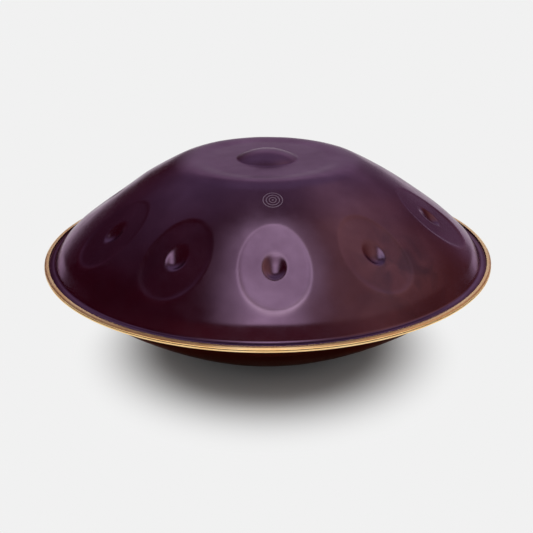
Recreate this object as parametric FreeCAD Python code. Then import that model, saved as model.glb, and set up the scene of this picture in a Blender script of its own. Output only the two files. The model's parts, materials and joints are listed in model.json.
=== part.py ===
"""Handpan: two bonded steel shells with hammered tone fields, closed by a brass rim in two rings.

Frame: origin at the centre of the land it rests on, +Z up. -Y is the player's side.
Heights called "level" are measured from the rim's mid-plane, away from it on either side.
"""

import FreeCAD, Part
import math
import os

# Overall sizes, mm
OVERALL_DIAMETER = 560.0    # over the rim rings
TOP_RISE = 118.1            # rim mid-plane to the ridge round the centre field
BOTTOM_DEPTH = 114.0        # rim mid-plane to the land underneath
SHEET = 1.2                 # steel sheet of both shells
BOND = 0.4                  # glue line between the flanges

# Rim rings
RING_WALL = 1.2             # brass round the edge
RING_LIP = 0.9              # brass over the flange
RING_WIDTH = 5.5            # lip and wall together, seen from above
RING_ROUND = 1.7            # outer corner
RING_ROUND_ARCS = 3         # the corner is drawn as this many tangent arcs of equal turn
RING_EDGE_ROUND = 0.4       # corner at the lip's inner edge
RING_SEAM = 0.5             # gap between the two rings, at the rim's mid-plane
RING_GLUE = 0.2             # adhesive film between ring and flange
FLANGE_VISIBLE = 5.8        # flat of the flange inside the rings

# Shell walls
FOOT_ROUND = 4.0            # outside radius where the wall meets the flange
# The wall's slope in degrees at fractions of the way out from the crown to the foot
TOP_SLOPES = ((0.0, 0.0), (0.15, 26.0), (0.42, 33.0), (0.78, 37.0), (1.0, 55.0))
BOTTOM_SLOPES = ((0.0, 0.0), (0.21, 22.0), (0.47, 31.0), (0.80, 38.0), (1.0, 55.0))

# Centre field and its dome
CROWN_RADIUS = 92.0         # crest of the ridge round the centre field
CROWN_STEP = 1.0            # field below the ridge
CROWN_STEP_SLOPE = 15.0     # steepest slope of the step, degrees
DOME_RADIUS = 38.0
DOME_HEIGHT = 10.5

# Tone fields on the wall: azimuth in degrees from -Y towards +X, and width across the slope
TONE_FIELDS = (
    (2.0, 77.0),
    (34.5, 78.0),
    (75.5, 82.0),
    (118.0, 88.0),
    (164.0, 92.0),
    (-149.0, 90.0),
    (-103.0, 86.0),
    (-60.3, 80.0),
    (-28.6, 78.0),
)
FIELD_CROWN_GAP = 69.0      # ridge to a tone field's upper end, in plan
FIELD_FOOT_GAP = 22.5       # a tone field's lower end to the flange's flat, in plan
FIELD_SINK = 0.5            # depth of a field's border at its sides
FIELD_BORDER_SLOPE = 20.0   # degrees
FIELD_TOOL_HEIGHT = 8.0     # the pressing tool reaches this far above a field
DIMPLE_RISE = 3.0           # the dimple's centre above its field's
DIMPLE_WIDTH = 25.0
DIMPLE_LENGTH = 32.0
DIMPLE_DEPTH = 4.5

# Port in the bottom shell
PORT_RADIUS = 45.0
PORT_BEND = 16.0            # outside radius of the sheet turned inward
PORT_NECK = 10.0            # straight length of the neck
LAND_WIDTH = 17.0           # flat ring that the object rests on

# Worked out from the sizes above
RIM_Z = BOTTOM_DEPTH
FLANGE_LOW = BOND / 2
FLANGE_TOP = FLANGE_LOW + SHEET
RING_LOW = FLANGE_TOP + RING_GLUE
RING_TOP = RING_LOW + RING_LIP
RING_RADIUS = OVERALL_DIAMETER / 2
RING_INNER = RING_RADIUS - RING_WIDTH
FLANGE_RADIUS = RING_RADIUS - RING_WALL - RING_GLUE
FOOT_RADIUS = RING_INNER - FLANGE_VISIBLE
LAND_INNER = PORT_RADIUS + PORT_BEND
LAND_OUTER = LAND_INNER + LAND_WIDTH
EPS = 1e-9


class Bend:
    """A stretch of an outline with a constant radius, told by its slope in radians from start to end.

    The radius is positive where the outline is convex seen from outside. The outward normal at
    slope s is (sin s, cos s), so a sheet's inner side is the same bend with its radius less the sheet.
    """

    def __init__(self, start, radius, slope_start, slope_end):
        self.radius = radius
        self.slopes = (slope_start, slope_end)
        self.centre = (
            start[0] - radius * math.sin(slope_start),
            start[1] - radius * math.cos(slope_start),
        )

    def point(self, slope, depth=0.0):
        reach = self.radius - depth
        return (self.centre[0] + reach * math.sin(slope), self.centre[1] + reach * math.cos(slope))

    def start(self, depth=0.0):
        return self.point(self.slopes[0], depth)

    def end(self, depth=0.0):
        return self.point(self.slopes[1], depth)


def wall_bends(start_radius, start_level, slopes, factor):
    """Tangent bends from the crown out to the flange's flat, with every slope times factor."""
    foot_slope = math.radians(slopes[-1][1] * factor)
    span = FOOT_RADIUS - FOOT_ROUND * math.sin(foot_slope) - start_radius
    at = (start_radius, start_level)
    bends = []
    for (share_a, slope_a), (share_b, slope_b) in zip(slopes, slopes[1:]):
        angle_a = math.radians(slope_a * factor)
        angle_b = math.radians(slope_b * factor)
        radius = span * (share_b - share_a) / (math.sin(angle_b) - math.sin(angle_a))
        bends.append(Bend(at, radius, angle_a, angle_b))
        at = bends[-1].end()
    bends.append(Bend(at, -FOOT_ROUND, foot_slope, 0.0))
    return bends


def fit_wall(start_radius, start_level, slopes):
    """The wall whose slopes are scaled so that its foot lands on the flange's outer face."""
    low, high = 0.2, 89.0 / slopes[-1][1]
    for _ in range(60):
        factor = (low + high) / 2
        if wall_bends(start_radius, start_level, slopes, factor)[-1].end()[1] > FLANGE_TOP:
            low = factor
        else:
            high = factor
    return wall_bends(start_radius, start_level, slopes, factor)


def top_outline():
    """Bends of the top shell's outside: the dome, the step up to the ridge, then the wall."""
    field_level = TOP_RISE - CROWN_STEP
    dome_bend = (DOME_RADIUS**2 + DOME_HEIGHT**2) / (2 * DOME_HEIGHT)
    dome = Bend((0.0, field_level + DOME_HEIGHT), dome_bend, 0.0, math.asin(DOME_RADIUS / dome_bend))
    slope = math.radians(CROWN_STEP_SLOPE)
    step_bend = CROWN_STEP / (2 * (1 - math.cos(slope)))
    step_start = CROWN_RADIUS - 2 * step_bend * math.sin(slope)
    rise = Bend((step_start, field_level), -step_bend, 0.0, -slope)
    crest = Bend(rise.end(), step_bend, -slope, 0.0)
    return dome, [rise, crest] + fit_wall(CROWN_RADIUS, TOP_RISE, TOP_SLOPES)


def bottom_outline():
    """Bends of the bottom shell's outside: the port's turned edge, then the wall after the land."""
    turn = Bend((PORT_RADIUS, BOTTOM_DEPTH - PORT_BEND), PORT_BEND, -math.pi / 2, 0.0)
    return turn, fit_wall(LAND_OUTER, BOTTOM_DEPTH, BOTTOM_SLOPES)


def place(point, side):
    """A (radius, level) pair as a point of the XZ plane; side is +1 above the rim and -1 below."""
    return FreeCAD.Vector(point[0], 0, RIM_Z + side * point[1])


def line(point_a, point_b, side):
    return Part.LineSegment(place(point_a, side), place(point_b, side)).toShape()


def bend_edge(bend, depth, side, slopes=None):
    first, last = slopes or bend.slopes
    points = [bend.point(first, depth), bend.point((first + last) / 2, depth), bend.point(last, depth)]
    return Part.Arc(*[place(p, side) for p in points]).toShape()


def revolve(edges):
    """The solid of revolution about +Z of a closed outline."""
    wire = Part.Wire(Part.__sortEdges__(edges))
    return Part.Face(wire).revolve(FreeCAD.Vector(0, 0, 0), FreeCAD.Vector(0, 0, 1), 360)


def crown_edges(depth):
    """The top shell's outline from the axis to the foot, on its outside or depth inside it."""
    dome, bends = top_outline()
    field_level = TOP_RISE - CROWN_STEP - depth
    dome_slope = math.acos((field_level - dome.centre[1]) / (dome.radius - depth))
    edges = [bend_edge(dome, depth, 1, (0.0, dome_slope))]
    edges.append(line(dome.point(dome_slope, depth), bends[0].start(depth), 1))
    edges += [bend_edge(bend, depth, 1) for bend in bends]
    return edges, dome.point(0.0, depth)


def top_outer_body():
    """Everything under the top shell's outside, down to the flange's lower face."""
    edges, apex = crown_edges(0.0)
    edges.append(line((FOOT_RADIUS, FLANGE_TOP), (FLANGE_RADIUS, FLANGE_TOP), 1))
    edges.append(line((FLANGE_RADIUS, FLANGE_TOP), (FLANGE_RADIUS, FLANGE_LOW), 1))
    edges.append(line((FLANGE_RADIUS, FLANGE_LOW), (0.0, FLANGE_LOW), 1))
    edges.append(line((0.0, FLANGE_LOW), apex, 1))
    return revolve(edges)


def top_inner_body():
    """Everything under the top shell's inside, reaching past the flange so that it cuts clean."""
    below = FLANGE_LOW - SHEET
    edges, apex = crown_edges(SHEET)
    edges.append(line((FOOT_RADIUS, FLANGE_LOW), (FOOT_RADIUS, below), 1))
    edges.append(line((FOOT_RADIUS, below), (0.0, below), 1))
    edges.append(line((0.0, below), apex, 1))
    return revolve(edges)


def outline_at(bends, radius):
    """Level and slope of the wall at a radius."""
    for bend in bends:
        low, high = bend.start()[0], bend.end()[0]
        if low - EPS <= radius <= high + EPS:
            slope = math.asin((radius - bend.centre[0]) / bend.radius)
            return bend.point(slope)[1], slope
    raise ValueError(f"no wall at radius {radius}")


def ellipse_wire(half_width, half_length, height):
    """An ellipse in a tone field's own frame: x across the slope, y up the slope."""
    longest = max(half_width, half_length)
    circle = Part.Wire(Part.makeCircle(longest, FreeCAD.Vector(0, 0, height)))
    squash = FreeCAD.Matrix()
    squash.scale(half_width / longest, half_length / longest, 1.0)
    return circle.transformGeometry(squash)


def border_tool(half_width, half_length, level):
    """Flat-bottomed elliptical tool whose wall opens at the border's slope."""
    run = FIELD_TOOL_HEIGHT / math.tan(math.radians(FIELD_BORDER_SLOPE))
    low = ellipse_wire(half_width, half_length, level)
    high = ellipse_wire(half_width + run, half_length + run, level + FIELD_TOOL_HEIGHT)
    return Part.makeLoft([low, high], True, True)


def dimple_tool(level, depth):
    """Ellipsoid that presses the dimple, grown by depth for the sheet's far side."""
    half = DIMPLE_WIDTH / 2
    ball = (half**2 + DIMPLE_DEPTH**2) / (2 * DIMPLE_DEPTH)
    sphere = Part.makeSphere(ball + depth)
    stretch = FreeCAD.Matrix()
    stretch.scale(1.0, DIMPLE_LENGTH / DIMPLE_WIDTH, 1.0)
    tool = sphere.transformGeometry(stretch)
    tool.translate(FreeCAD.Vector(0, DIMPLE_RISE, level + ball - DIMPLE_DEPTH))
    return tool


def field_frame(azimuth, radius, level, tilt):
    """Placement of a tone field: its x runs round the rim, its y up the slope, its z outward."""
    around = math.radians(azimuth)
    outward = FreeCAD.Vector(math.sin(around), -math.cos(around), 0)
    up = FreeCAD.Vector(0, 0, 1)
    across = FreeCAD.Vector(math.cos(around), math.sin(around), 0)
    uphill = up * math.sin(tilt) - outward * math.cos(tilt)
    normal = outward * math.sin(tilt) + up * math.cos(tilt)
    origin = outward * radius + up * (RIM_Z + level)
    rows = [[across[i], uphill[i], normal[i], origin[i]] for i in range(3)]
    return FreeCAD.Placement(FreeCAD.Matrix(*rows[0], *rows[1], *rows[2], 0, 0, 0, 1))


def field_tools(azimuth, width):
    """Tools that press one tone field and its dimple: a pair for the outside, a pair for the inside."""
    bends = top_outline()[1]
    upper = CROWN_RADIUS + FIELD_CROWN_GAP
    lower = FOOT_RADIUS - FIELD_FOOT_GAP
    upper_level = outline_at(bends, upper)[0]
    lower_level = outline_at(bends, lower)[0]
    tilt = math.atan2(upper_level - lower_level, lower - upper)
    half_length = math.hypot(lower - upper, upper_level - lower_level) / 2
    middle = (upper + lower) / 2
    level, slope = outline_at(bends, middle)
    bulge = (level - (upper_level + lower_level) / 2) * math.cos(tilt)
    side_fall = (width / 2) ** 2 * math.sin(slope) / (2 * middle)
    field_level = bulge - side_fall - FIELD_SINK
    border = math.tan(math.radians(FIELD_BORDER_SLOPE))
    half_flat = width / 2 - FIELD_SINK / border
    long_flat = half_length + field_level / border
    frame = field_frame(azimuth, middle, (upper_level + lower_level) / 2, tilt)
    grow = SHEET * math.tan(math.radians(FIELD_BORDER_SLOPE) / 2)
    outside = [border_tool(half_flat, long_flat, field_level), dimple_tool(field_level, 0.0)]
    inside = [
        border_tool(half_flat + grow, long_flat + grow, field_level - SHEET),
        dimple_tool(field_level, SHEET),
    ]
    for tool in outside + inside:
        tool.Placement = frame.multiply(tool.Placement)
    return outside, inside


def top_shell():
    """Sheet between the outside and the inside, both pressed in at every tone field."""
    outer, inner = top_outer_body(), top_inner_body()
    for azimuth, width in TONE_FIELDS:
        outside, inside = field_tools(azimuth, width)
        for tool in outside:
            outer = outer.cut(tool)
        for tool in inside:
            inner = inner.cut(tool)
    return outer.cut(inner)


def bottom_shell():
    """One sheet from the neck of the port out to the flange."""
    turn, wall = bottom_outline()
    neck_end = BOTTOM_DEPTH - PORT_BEND - PORT_NECK
    edges = []
    for depth in (0.0, SHEET):
        edges.append(line((PORT_RADIUS + depth, neck_end), turn.start(depth), -1))
        edges.append(bend_edge(turn, depth, -1))
        edges.append(line(turn.end(depth), wall[0].start(depth), -1))
        edges += [bend_edge(bend, depth, -1) for bend in wall]
        edges.append(line(wall[-1].end(depth), (FLANGE_RADIUS, FLANGE_TOP - depth), -1))
    edges.append(line((PORT_RADIUS, neck_end), (PORT_RADIUS + SHEET, neck_end), -1))
    edges.append(line((FLANGE_RADIUS, FLANGE_TOP), (FLANGE_RADIUS, FLANGE_LOW), -1))
    return revolve(edges)


def shell_bond():
    """Glue line between the two flanges, as wide as their flats."""
    corners = (
        (FOOT_RADIUS, FLANGE_LOW),
        (FLANGE_RADIUS, FLANGE_LOW),
        (FLANGE_RADIUS, -FLANGE_LOW),
        (FOOT_RADIUS, -FLANGE_LOW),
    )
    return revolve([line(a, b, 1) for a, b in zip(corners, corners[1:] + corners[:1])])


def rim_ring(side):
    """Brass ring of L section: a lip over the flange and a wall down to the seam."""
    wall_inner = RING_RADIUS - RING_WALL
    seam = RING_SEAM / 2
    corner = Bend((RING_RADIUS - RING_ROUND, RING_TOP), RING_ROUND, 0.0, math.pi / 2)
    turns = [math.pi / 2 * step / RING_ROUND_ARCS for step in range(RING_ROUND_ARCS + 1)]
    inner_edge = Bend((RING_INNER, RING_TOP - RING_EDGE_ROUND), RING_EDGE_ROUND, -math.pi / 2, 0.0)
    edges = [
        line((RING_INNER, RING_LOW), inner_edge.start(), side),
        bend_edge(inner_edge, 0.0, side),
        line(inner_edge.end(), corner.start(), side),
        *[bend_edge(corner, 0.0, side, turn) for turn in zip(turns, turns[1:])],
        line(corner.end(), (RING_RADIUS, seam), side),
        line((RING_RADIUS, seam), (wall_inner, seam), side),
        line((wall_inner, seam), (wall_inner, RING_LOW), side),
        line((wall_inner, RING_LOW), (RING_INNER, RING_LOW), side),
    ]
    return revolve(edges)


def ring_adhesive(side):
    """Film between one flange and its ring, meeting the other film at the rim's mid-plane."""
    wall_inner = RING_RADIUS - RING_WALL
    corners = (
        (RING_INNER, FLANGE_TOP),
        (RING_INNER, RING_LOW),
        (wall_inner, RING_LOW),
        (wall_inner, 0.0),
        (FLANGE_RADIUS, 0.0),
        (FLANGE_RADIUS, FLANGE_TOP),
    )
    return revolve([line(a, b, side) for a, b in zip(corners, corners[1:] + corners[:1])])


def main():
    os.makedirs("parts", exist_ok=True)
    nodes = {
        "top_shell": top_shell(),
        "bottom_shell": bottom_shell(),
        "shell_bond": shell_bond(),
        "upper_rim_ring": rim_ring(1),
        "lower_rim_ring": rim_ring(-1),
        "upper_ring_adhesive": ring_adhesive(1),
        "lower_ring_adhesive": ring_adhesive(-1),
    }
    for name, shape in nodes.items():
        solid = shape.Solids[0]
        solid.exportStep(f"parts/{name}.step")
        box = solid.BoundBox
        print(
            f"{name}: solids {len(shape.Solids)} valid {solid.isValid()} volume {solid.Volume:.0f} mm3",
            f"z {box.ZMin:.2f} to {box.ZMax:.2f} x {box.XMin:.2f} to {box.XMax:.2f}",
        )


main()
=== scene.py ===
"""Looks of a handpan: two steel shells in satin plum, hammered tone fields, a polished brass rim.

Sizes are in millimetres, and become metres where a mesh, a node or the camera takes them.
Levels are heights above the rim's mid-plane, or below it for the bottom shell.
"""

import json
import math

import bpy
import numpy as np
from mathutils import Matrix, Vector


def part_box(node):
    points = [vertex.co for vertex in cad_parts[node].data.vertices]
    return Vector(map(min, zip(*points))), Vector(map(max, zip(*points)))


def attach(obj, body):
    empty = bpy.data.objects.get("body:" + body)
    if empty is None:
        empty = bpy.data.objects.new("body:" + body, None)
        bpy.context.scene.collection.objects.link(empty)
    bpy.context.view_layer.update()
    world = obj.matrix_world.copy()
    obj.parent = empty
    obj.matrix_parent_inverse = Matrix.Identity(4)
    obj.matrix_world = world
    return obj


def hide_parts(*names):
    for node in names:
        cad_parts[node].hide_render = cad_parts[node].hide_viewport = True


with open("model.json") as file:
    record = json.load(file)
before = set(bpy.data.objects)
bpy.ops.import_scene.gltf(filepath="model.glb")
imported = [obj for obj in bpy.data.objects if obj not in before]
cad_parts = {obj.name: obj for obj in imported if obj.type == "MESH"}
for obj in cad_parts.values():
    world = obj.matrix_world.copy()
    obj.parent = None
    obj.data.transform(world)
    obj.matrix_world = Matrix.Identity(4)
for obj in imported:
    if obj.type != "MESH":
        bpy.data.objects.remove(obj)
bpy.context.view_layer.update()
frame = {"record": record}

MM = 0.001

# Read from the frame
ring_low, ring_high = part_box("upper_rim_ring")
bond_low, bond_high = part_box("shell_bond")
_, film_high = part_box("upper_ring_adhesive")
shell_low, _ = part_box("bottom_shell")
port = next(m for m in frame["record"]["mounts"] if m["name"] == "port")

RIM_Z = (bond_low.z + bond_high.z) / 2 / MM
RING_RADIUS = ring_high.x / MM
FILM_RADIUS = film_high.x / MM
FLANGE_RADIUS = bond_high.x / MM
FLANGE_LOW = (bond_high.z - bond_low.z) / 2 / MM
RING_TOP = ring_high.z / MM - RIM_Z
RING_SEAM = ring_low.z / MM - RIM_Z
RING_LOW = film_high.z / MM - RIM_Z
BOTTOM_DEPTH = RIM_Z - shell_low.z / MM
PORT_RADIUS = port["dims"]["r_mm"]
PORT_NECK = port["dims"]["length_mm"]

# The sheet and the shells' walls. Slopes are pairs: share of the wall's width, and degrees
SHEET = 1.2
FLANGE_TOP = FLANGE_LOW + SHEET
RING_WIDTH = 5.5            # the rings' lip over the flange
FLANGE_VISIBLE = 5.8        # flat of the flange between the lip and the wall
FOOT_RADIUS = RING_RADIUS - RING_WIDTH - FLANGE_VISIBLE
FOOT_ROUND = 4.0
TOP_RISE = 118.1
TOP_SLOPES = (
    (0.0, 0.0),
    (0.15, 26.0),
    (0.42, 33.0),
    (0.78, 37.0),
    (0.94, 45.5),
    (0.957, 54.0),
    (1.0, 56.0),
)
BOTTOM_SLOPES = ((0.0, 0.0), (0.21, 22.0), (0.47, 31.0), (0.80, 38.0), (1.0, 55.0))
PORT_BEND = 16.0
LAND_WIDTH = 17.0

# Corners of the rings' outer side: how far in from the edge, how far down, and the rounding
UPPER_BEAD = ((2.2, 0.0, 0.4), (0.35, 1.1, 0.3), (0.1, 1.75, 0.15), (0.5, 1.95, 0.1))
LOWER_CORNER = ((0.9, 0.0, 0.4), (0.0, 0.7, 0.4))
LIP_ROUND = 0.5             # inner edge of the lip
SEAM_ROUND = 0.1            # edge where the two rings meet
RING_CREASE = 0.05          # sheared edges that face the films
RING_BEND = 0.6             # inside round between the lip and the wall

# Centre field
CROWN_RADIUS = 92.0
CROWN_STEP = 1.0
CROWN_STEP_WIDTH = 18.0
DOME_RADIUS = 38.0
DOME_HEIGHT = 10.5
DOME_SOFT = 0.5             # rounding of the dome's foot

# Tone fields: azimuth in degrees from -Y towards +X, width across the slope, and how pale the
# border is painted, from 0 to 1: partly the hammer's polish and partly a painted highlight
TONE_FIELDS = (
    (2.0, 77.0, 1.0),
    (34.5, 78.0, 0.1),
    (75.5, 82.0, 0.6),
    (118.0, 88.0, 0.4),
    (164.0, 92.0, 0.4),
    (-149.0, 90.0, 0.4),
    (-103.0, 86.0, 0.4),
    (-60.3, 80.0, 0.4),
    (-28.6, 78.0, 0.2),
)
FIELD_CROWN_GAP = 69.0      # radius from the crown's edge to a field's top
FIELD_FOOT_GAP = 22.5       # radius from a field's low end to the wall's foot
FIELD_SINK = 0.45
FIELD_BORDER_SLOPE = 8.0
FIELD_REACH = (90.0, 95.0, -40.0)   # how far its pressing acts: across, along, and no lower than
BORDER_SOFT = 0.8           # rounding of the field's inner corner
SHOULDER_SOFT = 0.10        # rounding of the border's outer corner
DIMPLE_RISE = 1.8           # the dimple's centre above the field's
DIMPLE_WIDTH = 25.0
DIMPLE_LENGTH = 32.0
DIMPLE_DEPTH = 3.8
DIMPLE_LEAN = 0.62          # share by which it is deeper downhill and shallower uphill
DIMPLE_SOFT = 0.7

# Paler line round a field and a dimple: partly the line that the hammer rubs bright, partly a painted
# highlight
RUB_HIGHLIGHT_WIDTH = 1.6         # half width of the line
RUB_HIGHLIGHT_SHIFT = 0.2         # share of its half width that it lies outside the border
RUB_HIGHLIGHT_SPREAD = 1.3        # share by which it is wider at the field's low end
RUB_HIGHLIGHT_LEAST = 0.2         # strength away from the low end
RUB_HIGHLIGHT_DIMPLE = 0.5        # strength round a dimple

# Waves left by hammering: length and height of each size
HAMMER_WAVES = ((95.0, 0.16), (60.0, 0.10), (34.0, 0.045))
HAMMER_CROSSINGS = 7        # waves of each size, in random directions
HAMMER_SUM = 2.6            # height of their sum beside one wave, about the root of their number
HAMMER_SEED = 7
HAMMER_FADE = 20.0          # width above the wall's foot in which they die out

# Etched ripples and stains: azimuth in degrees and radius of the place, and sizes
MARK_PLACE = (2.6, 130.0)
MARK_PITCH = 3.4
MARK_LINE = 1.0
MARK_RADIUS = 11.5
STAIN_PLACE = (40.0, 226.0)
STAIN_REACH = 85.0

# Soft shadow on the floor: how far forward its centre is, and its inner and outer radius
SHADOW_FORWARD = 46.0
SHADOW_CORE = 125.0
SHADOW_REACH = 248.0

# Mesh: steps along the outlines, points in a round, and points round the axis
FINE_STEP = 0.5             # for measuring only
WALL_STEP = 2.2
BOTTOM_STEP = 3.0
INSIDE_STEP = 6.0
INSIDE_SKIP = 3             # the crown's inside has one row for this many outside
FOOT_POINTS = 8
NECK_POINTS = 5
PORT_BEND_POINTS = 12
ROUND_POINTS = 4
CROWN_SEGMENTS = 192
WALL_SEGMENTS = 768
BOTTOM_SEGMENTS = 256
RING_SEGMENTS = 512

# Rows across the centre field, closer where it bends: first and last radius, and how many
CROWN_ROWS = (
    (2.0, DOME_RADIUS - 4.0, 12),
    (DOME_RADIUS - 2.5, DOME_RADIUS + 3.0, 6),
    (DOME_RADIUS + 7.0, CROWN_RADIUS - CROWN_STEP_WIDTH - 3.0, 6),
    (CROWN_RADIUS - CROWN_STEP_WIDTH, CROWN_RADIUS - 1.0, 11),
)

# Panels that shine on the metal, in degrees: azimuth from the back towards +X, elevation, half size
# and soft edge across and up, then colour and strength
PANELS = (
    (180, 75, (13, 20), (12, 4), "#F4F2FA", 1.04),   # softbox over the front: the front tone field
    (180, 59, (12, 4), (8, 4), "#FFF4F6", 0.46),     # its brighter low edge
    (180, 13, (76, 11), (10, 5), "#FFF8EC", 1.30),   # wide and low in front: the brass
    (5, 9, (17, 14), (10, 10), "#ECF8FF", 0.46),     # low behind: the crown
    (8, 27, (24, 5), (10, 5), "#F8ECFA", 0.30),      # above it: the crown's front edge
    (34, 7, (9, 9), (7, 7), "#E8E0FF", 0.20),        # the crown's right
    (-34, 7, (9, 9), (7, 7), "#E4DCFF", 0.05),       # the crown's left
    (0, 49, (34, 22), (20, 17), "#D2D4F8", 0.27),    # high behind: the upper wall
    (88, 52, (32, 16), (16, 16), "#FFD8BC", 0.33),   # high on the right, warm: the right of the wall
    (80, 20, (40, 20), (14, 14), "#FFB890", 0.12),   # below it, warmer
    (180, 36, (70, 16), (8, 8), "#FF3C28", 0.04),    # faint red in front: the wall's foot
)
AMBIENT = (0.070, 0.006, 0.015)     # faint warm light on the metal from all round
OVERHEAD = (0, 90, (45, 45), (12, 12), "#FFFFFF", 1.55)     # panel that casts the floor's shadow
SKY = (0.36, 0.375, 0.38)           # light on the floor from all round
PAPER = "#F1F1F1"
FLOOR_HALF = 30000.0

# Camera: place from the rim's centre, tilt down and lean in degrees, and lens
CAMERA_BACK = 1009.3
CAMERA_RISE = 401.4
CAMERA_TILT = 23.09
CAMERA_LEAN = -0.31
CAMERA_LENS = 56.86
CAMERA_SHIFT = -0.0024

UP = np.array([0.0, 0.0, 1.0])


# ---------------------------------------------------------------- outlines


def bend(start, radius, slope_a, slope_b, count):
    """Points of a bend after its start, as (radius, level), turning from one slope to another."""
    centre = start - radius * np.array([math.sin(slope_a), math.cos(slope_a)])
    slopes = np.linspace(slope_a, slope_b, count + 1)[1:]
    return centre + radius * np.stack([np.sin(slopes), np.cos(slopes)], 1)


def wall(start_radius, start_level, slopes, step):
    """A shell's wall from its crown to the flange, with the slopes scaled to reach the flange.

    Each arc turns from one slope to the next, and a rounded foot meets the flange. The arcs end in
    the same place whatever the step, so the factor is sought with the fewest points.
    """

    def run(factor, spacing):
        foot = math.radians(slopes[-1][1] * factor)
        span = FOOT_RADIUS - FOOT_ROUND * math.sin(foot) - start_radius
        points = [np.array([[start_radius, start_level]])]
        for (share_a, slope_a), (share_b, slope_b) in zip(slopes, slopes[1:]):
            angle_a = math.radians(slope_a * factor)
            angle_b = math.radians(slope_b * factor)
            radius = span * (share_b - share_a) / (math.sin(angle_b) - math.sin(angle_a))
            count = max(1, round(radius * (angle_b - angle_a) / spacing))
            points.append(bend(points[-1][-1], radius, angle_a, angle_b, count))
        points.append(bend(points[-1][-1], -FOOT_ROUND, foot, 0.0, FOOT_POINTS))
        return np.concatenate(points)

    coarse = 100.0
    low, high = 0.2, 89.0 / slopes[-1][1]       # from a nearly flat wall to a foot of 89 degrees
    for _ in range(50):
        factor = (low + high) / 2
        if run(factor, coarse)[-1, 1] > FLANGE_TOP:
            low = factor
        else:
            high = factor
    return run(factor, step)


def top_wall(step):
    return wall(CROWN_RADIUS, TOP_RISE, TOP_SLOPES, step)


def smooth_min(a, b, soft):
    """The lower of two heights, with their crossing rounded."""
    return np.minimum(a, b) - np.maximum(soft - np.abs(a - b), 0.0) ** 2 / (4 * soft)


def smooth_step(x):
    """Rises from 0 to 1, level at both ends."""
    x = np.clip(x, 0.0, 1.0)
    return x * x * (3 - 2 * x)


def crown_level(radius):
    """Height of the centre field: a dome, a flat field and a step up to the ridge."""
    field = TOP_RISE - CROWN_STEP
    ball = (DOME_RADIUS**2 + DOME_HEIGHT**2) / (2 * DOME_HEIGHT)
    dome = field + DOME_HEIGHT - ball + np.sqrt(np.maximum(ball**2 - radius**2, 0.0))
    level = -smooth_min(-np.full_like(radius, field), -dome, DOME_SOFT)
    return level + CROWN_STEP * smooth_step((radius - CROWN_RADIUS) / CROWN_STEP_WIDTH + 1.0)


def level_at(outline, radius):
    """Level of an outline at a radius."""
    return float(np.interp(radius, outline[:, 0], outline[:, 1]))


def slope_at(outline, radius):
    """Slope of an outline in radians, over a few millimetres."""
    reach = 2.0
    return math.atan2(level_at(outline, radius - reach) - level_at(outline, radius + reach), 2 * reach)


def directions(azimuth, tilt):
    """Unit vectors for a plane facing an azimuth in degrees, and tilted by radians.

    They point straight outward, across the plane, up it, and out of it.
    """
    around = math.radians(azimuth)
    outward = np.array([math.sin(around), -math.cos(around), 0.0])
    across = np.array([math.cos(around), math.sin(around), 0.0])
    uphill = UP * math.sin(tilt) - outward * math.cos(tilt)
    return outward, across, uphill, outward * math.sin(tilt) + UP * math.cos(tilt)


def wall_place(azimuth, radius):
    """A point of the top shell's wall, in metres."""
    outward, _, _, _ = directions(azimuth, 0.0)
    level = level_at(top_wall(FINE_STEP), radius)
    return (outward * radius + UP * (RIM_Z + level)) * MM


# ---------------------------------------------------------------- tone fields


def field_shapes(outline):
    """For each tone field its origin and axes, half sizes inside the border, floor, and border paleness
    (rub and painted highlight).

    The floor is a shallow saddle that meets the wall at the same depth all round.
    """
    upper = CROWN_RADIUS + FIELD_CROWN_GAP
    lower = FOOT_RADIUS - FIELD_FOOT_GAP
    middle = (upper + lower) / 2
    high, low = level_at(outline, upper), level_at(outline, lower)
    tilt = math.atan2(high - low, lower - upper)
    half_length = math.hypot(lower - upper, high - low) / 2
    slope = slope_at(outline, middle)
    end_fall = (level_at(outline, middle) - (high + low) / 2) * math.cos(tilt)
    border = FIELD_SINK / math.tan(math.radians(FIELD_BORDER_SLOPE))
    shapes = []
    for azimuth, width, polish_and_highlight in TONE_FIELDS:
        outward, across, uphill, normal = directions(azimuth, tilt)
        origin = outward * middle + UP * (high + low) / 2
        side_fall = (width / 2) ** 2 * math.sin(slope) / (2 * middle)
        sunk = (end_fall - side_fall) / 2 - FIELD_SINK
        saddle = (side_fall - end_fall) / 2
        axes = (across, uphill, normal)
        shapes.append((origin, axes, width / 2 - border, half_length - border, sunk, saddle, polish_and_highlight))
    return shapes


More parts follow.
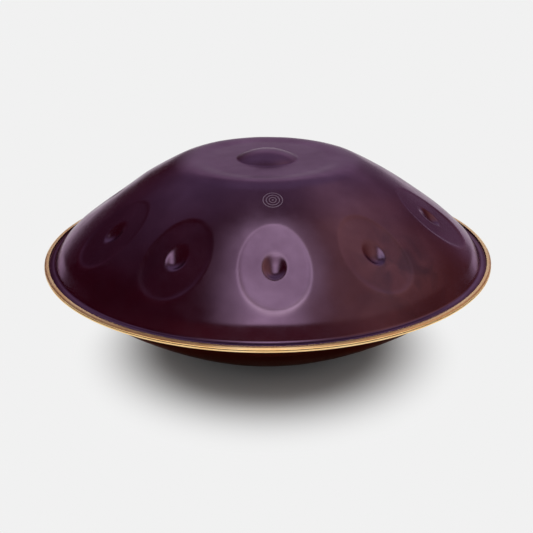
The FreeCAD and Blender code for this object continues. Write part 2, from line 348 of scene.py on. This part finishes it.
def press_fields(points, shapes):
    """Presses every tone field and its dimple into points of the top shell's outside.

    Returns the pressed points, and for each how pale it is painted, from 0 to 1: partly hammer rubbing,
    partly a painted highlight.
    """
    points = points.copy()
    burnish = np.zeros(points.shape[:-1])
    reach_across, reach_along, lowest = FIELD_REACH
    border_tangent = math.tan(math.radians(FIELD_BORDER_SLOPE))
    border = FIELD_SINK / border_tangent
    tiny = 1e-9                                 # keeps the divisions safe
    middle_share, well_inside = 0.4, -30.0      # near the middle, any distance well inside will do
    no_bowl = 1e3                               # above every surface
    half = DIMPLE_WIDTH / 2
    ball = (half**2 + DIMPLE_DEPTH**2) / (2 * DIMPLE_DEPTH)
    for origin, (across, uphill, normal), half_width, half_length, sunk, saddle, polish_and_highlight in shapes:
        local = points - origin
        x, y, height = local @ across, local @ uphill, local @ normal
        near = (np.abs(x) < reach_across) & (np.abs(y) < reach_along) & (height > lowest)
        along, over = x / half_width, y / half_length
        reach = np.hypot(along, over) + tiny
        steepness = np.hypot(x / half_width**2, y / half_length**2) / reach + tiny
        outside = np.where(reach < middle_share, well_inside, (reach - 1.0) / steepness)
        bed = sunk - saddle * (along**2 - over**2) / np.maximum(reach, 1.0) ** 2
        pressed = bed + BORDER_SOFT * np.logaddexp(0.0, outside / BORDER_SOFT) * border_tangent
        from_middle = np.hypot(x, (y - DIMPLE_RISE) * DIMPLE_WIDTH / DIMPLE_LENGTH)
        depth = np.sqrt(np.maximum(ball**2 - from_middle**2, 0.0)) - ball + DIMPLE_DEPTH
        lean = 1.0 - DIMPLE_LEAN * np.clip((y - DIMPLE_RISE) * 2 / DIMPLE_LENGTH, -1.0, 1.0)
        bowl = np.where(from_middle < ball, bed - depth * lean, no_bowl)
        target = smooth_min(height, smooth_min(pressed, bowl, DIMPLE_SOFT), SHOULDER_SOFT)
        points += np.where(near, target - height, 0.0)[..., None] * normal
        # Paler border line: partly the hammer's rubbing, partly a painted highlight, strongest at the
        # field's low end
        low_end = smooth_step(-over) ** 2
        wide = RUB_HIGHLIGHT_WIDTH * (1 + RUB_HIGHLIGHT_SPREAD * low_end)
        edge = np.exp(-(((outside - border - wide * RUB_HIGHLIGHT_SHIFT) / wide) ** 2))
        edge *= RUB_HIGHLIGHT_LEAST + (1 - RUB_HIGHLIGHT_LEAST) * low_end
        rim = np.exp(-(((from_middle - half) / RUB_HIGHLIGHT_WIDTH) ** 2)) * RUB_HIGHLIGHT_DIMPLE
        burnish = np.maximum(burnish, np.where(near, (edge + rim) * polish_and_highlight, 0.0))
    return points, np.clip(burnish, 0.0, 1.0)


def hammering(points):
    """Slight waves left in the sheet by hammering, as heights."""
    random = np.random.default_rng(HAMMER_SEED)
    total = np.zeros(points.shape[:-1])
    for length, height in HAMMER_WAVES:
        for _ in range(HAMMER_CROSSINGS):
            direction = random.normal(size=3)
            direction /= np.linalg.norm(direction)
            phase = random.uniform(0, 2 * math.pi)
            total += height / HAMMER_SUM * np.sin(points @ direction * 2 * math.pi / length + phase)
    return total


# ---------------------------------------------------------------- meshes


def ring_points(outline, segments, level_sign=1):
    """Points of an outline turned about the axis, a row for each of its points.

    A level sign of -1 turns the outline upside down, for the bottom shell and the lower ring.
    """
    turn = np.arange(segments) * 2 * math.pi / segments
    radius = outline[:, 0][:, None]
    x = radius * np.sin(turn)
    y = -radius * np.cos(turn)
    z = np.repeat(outline[:, 1][:, None] * level_sign, segments, 1)
    return np.stack([x, y, z], -1)


class Skin:
    """A closed skin sewn from rows of points that run round the axis."""

    def __init__(self):
        self.points = []
        self.burnish = []
        self.faces = []
        self.count = 0

    def row(self, points, burnish=None):
        """Adds a row and returns the numbers of its vertices."""
        self.points.append(points)
        self.burnish.append(np.zeros(len(points)) if burnish is None else burnish)
        first = self.count
        self.count += len(points)
        return list(range(first, self.count))

    def join(self, row_a, row_b):
        """Faces between two rows; one may have a whole number of times the other's points."""
        a, b = len(row_a), len(row_b)
        step_a, step_b = max(a // b, 1), max(b // a, 1)
        for i in range(min(a, b)):
            along_a = [row_a[(i * step_a + j) % a] for j in range(step_a + 1)]
            along_b = [row_b[(i * step_b + j) % b] for j in range(step_b + 1)]
            self.faces.append(along_b + along_a[::-1])

    def strip(self, rows):
        """Faces between each row and the next."""
        for row_a, row_b in zip(rows, rows[1:]):
            self.join(row_a, row_b)

    def cap(self, point, row, inward=False):
        """Closes a row with a fan of triangles about a point."""
        centre = self.row(np.array([point]))[0]
        for a, b in zip(row, row[1:] + row[:1]):
            self.faces.append([centre, b, a] if inward else [centre, a, b])

    def object(self, name, material, replaced):
        """The skin as a piece of the scene, in place of a CAD node."""
        mesh = bpy.data.meshes.new(name)
        points = (np.concatenate(self.points) + UP * RIM_Z) * MM
        mesh.from_pydata(points.tolist(), [], self.faces)
        mesh.shade_smooth()
        # Per point, how pale the border is painted: partly rubbing, partly a painted highlight
        burnish = mesh.attributes.new("burnish", "FLOAT", "POINT")
        burnish.data.foreach_set("value", np.concatenate(self.burnish).astype(np.float32))
        mesh.materials.append(material)
        piece = bpy.data.objects.new(name, mesh)
        bpy.context.scene.collection.objects.link(piece)
        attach(piece, "root")
        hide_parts(*replaced)


def row_normals(grid):
    """Outward normals of a grid of rows about the axis."""
    around = np.roll(grid, -1, 1) - np.roll(grid, 1, 1)
    down = np.gradient(grid, axis=0)
    normal = np.cross(down, around)
    # The small sum keeps the division safe
    return normal / (np.linalg.norm(normal, axis=-1, keepdims=True) + 1e-12)


def top_shell(material):
    """Domed centre field, pressed and hammered wall, and flange, with the same surface inside."""
    shapes = field_shapes(top_wall(FINE_STEP))
    crown_radii = np.concatenate([np.linspace(*rows) for rows in CROWN_ROWS])
    crown = np.stack([crown_radii, crown_level(crown_radii)], 1)
    skin = Skin()

    def surface(profile, segments, depth=0.0):
        """Points at a depth below the pressed and hammered surface, and how pale they are painted: rubbing
        and painted highlight.
        """
        grid = ring_points(profile, segments)
        fade = smooth_step((FOOT_RADIUS - FOOT_ROUND - profile[:, 0]) / HAMMER_FADE)[:, None]
        pressed, burnish = press_fields(grid, shapes)
        normal = row_normals(pressed)
        return pressed + normal * (hammering(pressed) * fade - depth)[..., None], burnish

    over_crown, _ = surface(crown, CROWN_SEGMENTS)
    apex = over_crown[0, :, 2].mean()
    outside = [skin.row(points) for points in over_crown]
    skin.cap((0, 0, apex), outside[0])
    over_wall, burnish = surface(top_wall(WALL_STEP), WALL_SEGMENTS)
    outside += [skin.row(points, line) for points, line in zip(over_wall, burnish)]
    flange = np.array([[FLANGE_RADIUS, FLANGE_TOP], [FLANGE_RADIUS, FLANGE_LOW]])
    outside += [skin.row(points) for points in ring_points(flange, CROWN_SEGMENTS)]
    profile = np.concatenate([crown[::INSIDE_SKIP], top_wall(INSIDE_STEP)])
    under_wall, _ = surface(profile, CROWN_SEGMENTS, SHEET)
    apex = under_wall[0, :, 2].mean()
    inside = [skin.row(points) for points in under_wall[::-1]]
    skin.strip(outside + inside)
    skin.cap((0, 0, apex), inside[-1], inward=True)
    skin.object("top_shell_skin", material, ["top_shell"])


def bottom_shell(material):
    """Turned-in port, flat land, wall and flange, as one sheet drawn upside down."""
    port_in = np.array([PORT_RADIUS, BOTTOM_DEPTH - PORT_BEND - PORT_NECK])
    neck = np.linspace(port_in, port_in + [0, PORT_NECK], NECK_POINTS)
    turn = bend(neck[-1], PORT_BEND, -math.pi / 2, 0.0, PORT_BEND_POINTS)
    slope = wall(PORT_RADIUS + PORT_BEND + LAND_WIDTH, BOTTOM_DEPTH, BOTTOM_SLOPES, BOTTOM_STEP)
    outside = np.concatenate([neck, turn, slope, [[FLANGE_RADIUS, FLANGE_TOP]]])
    tangent = np.gradient(outside, axis=0)
    tangent /= np.linalg.norm(tangent, axis=1, keepdims=True)
    inside = outside - SHEET * np.stack([-tangent[:, 1], tangent[:, 0]], 1)
    # Cut square at the neck's end and at the flange's edge
    inside[0] = outside[0] + [SHEET, 0]
    inside[-1] = [FLANGE_RADIUS, FLANGE_LOW]
    skin = Skin()
    loop = np.concatenate([outside, inside[::-1]])
    rows = [skin.row(points) for points in ring_points(loop, BOTTOM_SEGMENTS, -1)]
    skin.strip(rows[::-1])
    skin.join(rows[0], rows[-1])
    skin.object("bottom_shell_skin", material, ["bottom_shell"])


def turned_ring(cad_node, loop, material, side=1):
    """A ring turned from a closed outline, above the mid-plane or, with a side of -1, below it."""
    skin = Skin()
    rows = [skin.row(points) for points in ring_points(np.array(loop), RING_SEGMENTS, side)]
    ordered = rows + [rows[0]]
    skin.strip(ordered if side > 0 else ordered[::-1])
    skin.object(f"{cad_node}_skin", material, [cad_node])


def rounded(before, corner, after, radius, count):
    """Points of an outline's corner rounded to a radius."""
    a, b, c = (np.array(p, float) for p in (before, corner, after))
    toward_a = (a - b) / np.linalg.norm(a - b)
    toward_c = (c - b) / np.linalg.norm(c - b)
    half = math.acos(float(toward_a @ toward_c)) / 2
    centre = b + (toward_a + toward_c) / np.linalg.norm(toward_a + toward_c) * radius / math.sin(half)
    start = b + toward_a * radius / math.tan(half) - centre
    end = b + toward_c * radius / math.tan(half) - centre
    sweep = math.pi - 2 * half
    share = np.linspace(0, sweep, count + 1)
    return [centre + (start * math.sin(sweep - t) + end * math.sin(t)) / math.sin(sweep) for t in share]


def rim_ring(side, material):
    """Brass ring with a lip over the flange; the upper one is turned to a bead over the seam."""
    inner = RING_RADIUS - RING_WIDTH
    profile = UPPER_BEAD if side > 0 else LOWER_CORNER
    # Each corner with the radius that it is rounded to, and the steps in the round
    outline = (
        ((inner, RING_LOW), RING_CREASE, 1),
        ((inner, RING_TOP), LIP_ROUND, ROUND_POINTS),
        *[((RING_RADIUS - inset, RING_TOP - down), turn, ROUND_POINTS) for inset, down, turn in profile],
        ((RING_RADIUS - profile[-1][0], RING_SEAM), SEAM_ROUND, ROUND_POINTS - 1),
        ((FILM_RADIUS, RING_SEAM), RING_CREASE, 1),
        ((FILM_RADIUS, RING_LOW), RING_BEND, ROUND_POINTS),
    )
    corners = [corner for corner, _, _ in outline]
    loop = []
    for i, (corner, turn, count) in enumerate(outline):
        loop += rounded(corners[i - 1], corner, corners[(i + 1) % len(corners)], turn, count)
    level = "upper" if side > 0 else "lower"
    turned_ring(f"{level}_rim_ring", loop, material, side)


def adhesive_film(side, material):
    """Cured film between a flange and its ring, seen only in the seam."""
    inner = RING_RADIUS - RING_WIDTH
    edge = (inner, RING_LOW)
    foot = (FILM_RADIUS, 0.0)
    loop = [
        (inner, FLANGE_TOP),
        edge,
        *rounded(edge, (FILM_RADIUS, RING_LOW), foot, RING_BEND, ROUND_POINTS),
        foot,
        (FLANGE_RADIUS, 0.0),
        (FLANGE_RADIUS, FLANGE_TOP),
    ]
    level = "upper" if side > 0 else "lower"
    turned_ring(f"{level}_ring_adhesive", loop, material, side)


def bond_line(material):
    """Glue between the two flanges, hidden by the rings."""
    loop = [
        (FOOT_RADIUS, -FLANGE_LOW),
        (FOOT_RADIUS, FLANGE_LOW),
        (FLANGE_RADIUS, FLANGE_LOW),
        (FLANGE_RADIUS, -FLANGE_LOW),
    ]
    turned_ring("shell_bond", loop, material)


# ---------------------------------------------------------------- materials


def linear(hex_colour):
    """An sRGB hex colour as linear red, green, blue, alpha."""
    values = [int(hex_colour[i : i + 2], 16) / 255 for i in (1, 3, 5)]
    return [v / 12.92 if v <= 0.04045 else ((v + 0.055) / 1.055) ** 2.4 for v in values] + [1.0]


# Sockets of a Mix node for colours and for plain values, which share their names
MIX_A, MIX_B, MIXED = 6, 7, 2
MIX_VALUE_A, MIX_VALUE_B = 2, 3

# Where nearly all the values of a noise pattern lie
NOISE_SPAN = {"From Min": 0.3, "From Max": 0.7}


def node(tree, kind, inputs=None, **settings):
    """Adds a node with its settings. Each input is given a socket to link to, or a value."""
    made = tree.nodes.new(kind)
    for key, value in settings.items():
        setattr(made, key, value)
    for key, value in (inputs or {}).items():
        if isinstance(value, bpy.types.NodeSocket):
            tree.links.new(value, made.inputs[key])
        else:
            made.inputs[key].default_value = value
    return made


def new_material(name, values):
    """A material with one principled shader, whose uniform values are set on its own sockets."""
    material = bpy.data.materials.new(name)
    material.use_nodes = True
    tree = material.node_tree
    tree.nodes.clear()
    shader = node(tree, "ShaderNodeBsdfPrincipled", values)
    node(tree, "ShaderNodeOutputMaterial", {"Surface": shader.outputs[0]})
    return material, tree, shader


def clouded(tree, place, size, detail, rough, ends, colours):
    """Clouds of a given size, and a colour that drifts with them from one tint to another."""
    settings = {"Vector": place, "Scale": 1 / size, "Detail": detail, "Roughness": rough}
    cloud = node(tree, "ShaderNodeTexNoise", settings).outputs[0]
    tint = node(tree, "ShaderNodeValToRGB", {"Fac": cloud})
    for stop, position, colour in zip(tint.color_ramp.elements, ends, colours):
        stop.position = position
        stop.color = linear(colour)
    return cloud, tint.outputs[0]


def satin_plum_steel():
    """Nitrided deep-drawn steel, tinted plum and rubbed to a satin, so its deep gloss is soft and cloudy.

    A small mark of etched ripples sits under the crown, and handling has left stains by one field.
    """
    values = {"Metallic": 1.0, "Specular Tint": linear("#DCCAD8")}
    material, tree, shader = new_material("satin_plum_steel", values)
    cloud_size, patch_size, grain_size = 70.0 * MM, 34.0 * MM, 18.0 * MM
    place = node(tree, "ShaderNodeTexCoord").outputs["Object"]
    _, colour = clouded(tree, place, cloud_size, 3.0, 0.55, (0.30, 0.72), ("#755C74", "#8F768F"))

    # Stains: dull patches that fade out round one place
    settings = {
        "Vector": place,
        "Scale": 1 / patch_size,
        "Detail": 2.0,
        "Roughness": 0.45,
        "Distortion": 0.8,
    }
    patches = node(tree, "ShaderNodeTexNoise", settings).outputs[0]
    edges = {"Value": patches, "From Min": 0.42, "From Max": 0.66}
    stained = node(tree, "ShaderNodeMapRange", edges).outputs[0]
    apart = {0: place, 1: wall_place(*STAIN_PLACE)}
    far = node(tree, "ShaderNodeVectorMath", apart, operation="DISTANCE").outputs["Value"]
    reach = STAIN_REACH * MM
    edges = {"Value": far, "From Min": reach, "From Max": reach / 3, "To Min": 0.0, "To Max": 0.75}
    near = node(tree, "ShaderNodeMapRange", edges, interpolation_type="SMOOTHSTEP").outputs[0]
    stained = node(tree, "ShaderNodeMath", {0: stained, 1: near}, operation="MULTIPLY").outputs[0]
    layers = {0: stained, MIX_A: colour, MIX_B: linear("#5F5570")}
    colour = node(tree, "ShaderNodeMix", layers, data_type="RGBA").outputs[MIXED]

    # Borders painted paler: partly the hammer's rubbing, partly a painted highlight
    burnish = node(tree, "ShaderNodeAttribute", attribute_name="burnish").outputs["Fac"]
    layers = {0: burnish, MIX_A: colour, MIX_B: linear("#A58CA2")}
    colour = node(tree, "ShaderNodeMix", layers, data_type="RGBA").outputs[MIXED]

    # Etched ripples: thin rings about one place
    apart = {0: place, 1: wall_place(*MARK_PLACE)}
    reach = node(tree, "ShaderNodeVectorMath", apart, operation="DISTANCE").outputs["Value"]
    ripple = node(tree, "ShaderNodeMath", {0: reach, 1: MARK_PITCH * MM}, operation="MODULO").outputs[0]
    line = node(tree, "ShaderNodeMath", {0: ripple, 1: MARK_LINE * MM}, operation="LESS_THAN").outputs[0]
    inside = node(tree, "ShaderNodeMath", {0: reach, 1: MARK_RADIUS * MM}, operation="LESS_THAN").outputs[0]
    etched = node(tree, "ShaderNodeMath", {0: line, 1: inside}, operation="MULTIPLY").outputs[0]
    layers = {0: etched, MIX_A: colour, MIX_B: linear("#B0A8B6")}
    colour = node(tree, "ShaderNodeMix", layers, data_type="RGBA").outputs[MIXED]
    tree.links.new(colour, shader.inputs["Base Color"])

    settings = {"Vector": place, "Scale": 1 / grain_size, "Detail": 4.0, "Roughness": 0.6}
    grain = node(tree, "ShaderNodeTexNoise", settings).outputs[0]
    rubbed = {"Value": grain, **NOISE_SPAN, "To Min": 0.26, "To Max": 0.19}
    gloss = node(tree, "ShaderNodeMapRange", rubbed).outputs[0]
    layers = {0: etched, MIX_VALUE_A: gloss, MIX_VALUE_B: 0.45}
    gloss = node(tree, "ShaderNodeMix", layers, data_type="FLOAT").outputs[0]
    tree.links.new(gloss, shader.inputs["Roughness"])
    return material


def browned_steel():
    """Nitrided steel left unrubbed, duller than the top shell, in a dark warm brown that is painted shade
    for the shell facing the shadowed floor.
    """
    # Brown edge tint and dark brown clouds: painted shade, darker than the top shell's steel
    values = {"Metallic": 1.0, "Specular Tint": linear("#96624E")}
    material, tree, shader = new_material("browned_steel", values)
    cloud_size = 60.0 * MM
    place = node(tree, "ShaderNodeTexCoord").outputs["Object"]
    cloud, colour = clouded(tree, place, cloud_size, 3.0, 0.55, (0.30, 0.72), ("#38201A", "#4C2C22"))
    tree.links.new(colour, shader.inputs["Base Color"])
    dull = {"Value": cloud, **NOISE_SPAN, "To Min": 0.42, "To Max": 0.34}
    tree.links.new(node(tree, "ShaderNodeMapRange", dull).outputs[0], shader.inputs["Roughness"])
    return material


def polished_brass():
    """Drawn brass strip, bent and polished: warm gold with a faint turning grain along its length.

    The real grain is finer than a tenth of a millimetre, so it is drawn coarser to show.
    """
    material, tree, shader = new_material("polished_brass", {"Metallic": 0.88})
    cloud_size, grain_size = 40.0 * MM, 1.2 * MM
    place = node(tree, "ShaderNodeTexCoord").outputs["Object"]
    level = node(tree, "ShaderNodeSeparateXYZ", {0: place}).outputs["Z"]
    flat = node(tree, "ShaderNodeVectorMath", {0: place, 1: (1, 1, 0)}, operation="MULTIPLY").outputs[0]
    radius = node(tree, "ShaderNodeVectorMath", {0: flat}, operation="LENGTH").outputs["Value"]
    section = node(tree, "ShaderNodeCombineXYZ", {"X": radius, "Z": level}).outputs[0]
    settings = {"Vector": section, "Scale": 1 / grain_size, "Detail": 1.0}
    grain = node(tree, "ShaderNodeTexNoise", settings).outputs[0]
    _, colour = clouded(tree, place, cloud_size, 2.0, 0.5, (0.30, 0.70), ("#F8CA88", "#FFE0A8"))
    tree.links.new(colour, shader.inputs["Base Color"])
    turned = {"Value": grain, **NOISE_SPAN, "To Min": 0.15, "To Max": 0.20}
    tree.links.new(node(tree, "ShaderNodeMapRange", turned).outputs[0], shader.inputs["Roughness"])
    return material


def cured_epoxy():
    """Two-part structural epoxy: cured dark brown, slightly cloudy, a dull line in the seam."""
    material, tree, shader = new_material("cured_epoxy", {})
    cloud_size = 6.0 * MM
    place = node(tree, "ShaderNodeTexCoord").outputs["Object"]
    cloud, colour = clouded(tree, place, cloud_size, 3.0, 0.5, (0.30, 0.70), ("#38241A", "#523626"))
    tree.links.new(colour, shader.inputs["Base Color"])
    dull = {"Value": cloud, **NOISE_SPAN, "To Min": 0.5, "To Max": 0.65}
    tree.links.new(node(tree, "ShaderNodeMapRange", dull).outputs[0], shader.inputs["Roughness"])
    return material


def pale_seamless_paper():
    """Matt paper for the floor: a soft shadow close under the object, and evenly bright beyond it."""
    values = {"Base Color": linear(PAPER), "Roughness": 0.9, "Specular IOR Level": 0.0}
    material, tree, shader = new_material("pale_seamless_paper", values)
    place = node(tree, "ShaderNodeTexCoord").outputs["Object"]
    apart = {0: place, 1: (0.0, -SHADOW_FORWARD * MM, 0.0)}
    distance = node(tree, "ShaderNodeVectorMath", apart, operation="DISTANCE").outputs["Value"]
    edges = {"Value": distance, "From Min": SHADOW_CORE * MM, "From Max": SHADOW_REACH * MM}
    beyond = node(tree, "ShaderNodeMapRange", edges, interpolation_type="SMOOTHSTEP").outputs[0]
    glow = node(tree, "ShaderNodeEmission", {"Color": linear(PAPER)})
    mixed = node(tree, "ShaderNodeMixShader", {0: beyond, 1: shader.outputs[0], 2: glow.outputs[0]})
    tree.links.new(mixed.outputs[0], tree.nodes["Material Output"].inputs["Surface"])
    return material


# ---------------------------------------------------------------- studio


def panel(tree, direction, azimuth, elevation, half_size, soft, colour, strength):
    """Light from a soft rectangular panel far away, as a colour socket for the world.

    The azimuth runs from the back, +Y, towards +X. The half size and the soft edge are each given
    across and up, and all angles are in degrees.
    """
    around, height = math.radians(azimuth), math.radians(elevation)
    flat = Vector((math.sin(around), math.cos(around), 0.0))
    centre = flat * math.cos(height) + Vector((0.0, 0.0, math.sin(height)))
    side = Vector((math.cos(around), -math.sin(around), 0.0))
    up = centre.cross(side)

    def along(axis):
        made = node(tree, "ShaderNodeVectorMath", {0: direction, 1: axis}, operation="DOT_PRODUCT")
        return made.outputs["Value"]

    # At least a little ahead, so that a direction facing away measures as far to the side
    ahead = node(tree, "ShaderNodeMath", {0: along(centre), 1: 1e-4}, operation="MAXIMUM").outputs[0]
    mask = None
    for axis, half, fade in ((side, half_size[0], soft[0]), (up, half_size[1], soft[1])):
        ratio = node(tree, "ShaderNodeMath", {0: along(axis), 1: ahead}, operation="DIVIDE").outputs[0]
        angle = node(tree, "ShaderNodeMath", {0: ratio}, operation="ARCTANGENT").outputs[0]
        size = node(tree, "ShaderNodeMath", {0: angle}, operation="ABSOLUTE").outputs[0]
        outer, inner = math.radians(half + fade), math.radians(half - fade)
        edges = {"Value": size, "From Min": outer, "From Max": inner}
        edge = node(tree, "ShaderNodeMapRange", edges, interpolation_type="SMOOTHSTEP").outputs[0]
        if mask is None:
            mask = edge
        else:
            mask = node(tree, "ShaderNodeMath", {0: mask, 1: edge}, operation="MULTIPLY").outputs[0]
    light = [c * strength for c in linear(colour)[:3]]
    return node(tree, "ShaderNodeVectorMath", {0: light, "Scale": mask}, operation="SCALE").outputs[0]


def studio():
    """Three surrounds: panels for reflections, a soft sky for the floor, and plain paper for the view."""
    world = bpy.data.worlds.new("studio")
    bpy.context.scene.world = world
    world.use_nodes = True
    world.cycles.sampling_method = "NONE"   # the panels are wide, so rays find them unaided
    tree = world.node_tree
    tree.nodes.clear()
    direction = node(tree, "ShaderNodeTexCoord").outputs["Generated"]
    total = panel(tree, direction, *PANELS[0])
    for values in PANELS[1:]:
        light = panel(tree, direction, *values)
        total = node(tree, "ShaderNodeVectorMath", {0: total, 1: light}, operation="ADD").outputs[0]
    total = node(tree, "ShaderNodeVectorMath", {0: total, 1: AMBIENT}, operation="ADD").outputs[0]
    shine = node(tree, "ShaderNodeBackground", {"Color": total}).outputs[0]
    overhead = panel(tree, direction, *OVERHEAD)
    lifted = node(tree, "ShaderNodeVectorMath", {0: overhead, 1: SKY}, operation="ADD").outputs[0]
    sky = node(tree, "ShaderNodeBackground", {"Color": lifted}).outputs[0]
    paper = node(tree, "ShaderNodeBackground", {"Color": linear(PAPER)}).outputs[0]
    path = node(tree, "ShaderNodeLightPath").outputs
    even = node(tree, "ShaderNodeMixShader", {0: path["Is Camera Ray"], 1: sky, 2: paper}).outputs[0]
    mixed = node(tree, "ShaderNodeMixShader", {0: path["Is Glossy Ray"], 1: even, 2: shine}).outputs[0]
    node(tree, "ShaderNodeOutputWorld", {"Surface": mixed})


def floor():
    half = FLOOR_HALF * MM
    mesh = bpy.data.meshes.new("floor")
    corners = [(-half, -half, 0), (half, -half, 0), (half, half, 0), (-half, half, 0)]
    mesh.from_pydata(corners, [], [(0, 1, 2, 3)])
    mesh.materials.append(pale_seamless_paper())
    piece = bpy.data.objects.new("floor", mesh)
    bpy.context.scene.collection.objects.link(piece)


def camera():
    """Looks down at the player's side, from a little over a metre."""
    data = bpy.data.cameras.new("camera")
    data.lens = CAMERA_LENS
    data.sensor_width = 36.0
    data.shift_x = CAMERA_SHIFT
    data.clip_end = 100.0
    made = bpy.data.objects.new("camera", data)
    bpy.context.scene.collection.objects.link(made)
    place = Matrix.Translation((0.0, -CAMERA_BACK * MM, (RIM_Z + CAMERA_RISE) * MM))
    tilt = Matrix.Rotation(math.radians(90 - CAMERA_TILT), 4, "X")
    lean = Matrix.Rotation(math.radians(CAMERA_LEAN), 4, "Z")
    made.matrix_world = place @ tilt @ lean
    bpy.context.scene.camera = made


# ---------------------------------------------------------------- build

brass = polished_brass()
epoxy = cured_epoxy()
top_shell(satin_plum_steel())
bottom_shell(browned_steel())
for side in (1, -1):    # above the mid-plane, then below it
    rim_ring(side, brass)
    adhesive_film(side, epoxy)
bond_line(epoxy)
floor()
studio()
camera()
bpy.context.scene.view_settings.view_transform = "Standard"
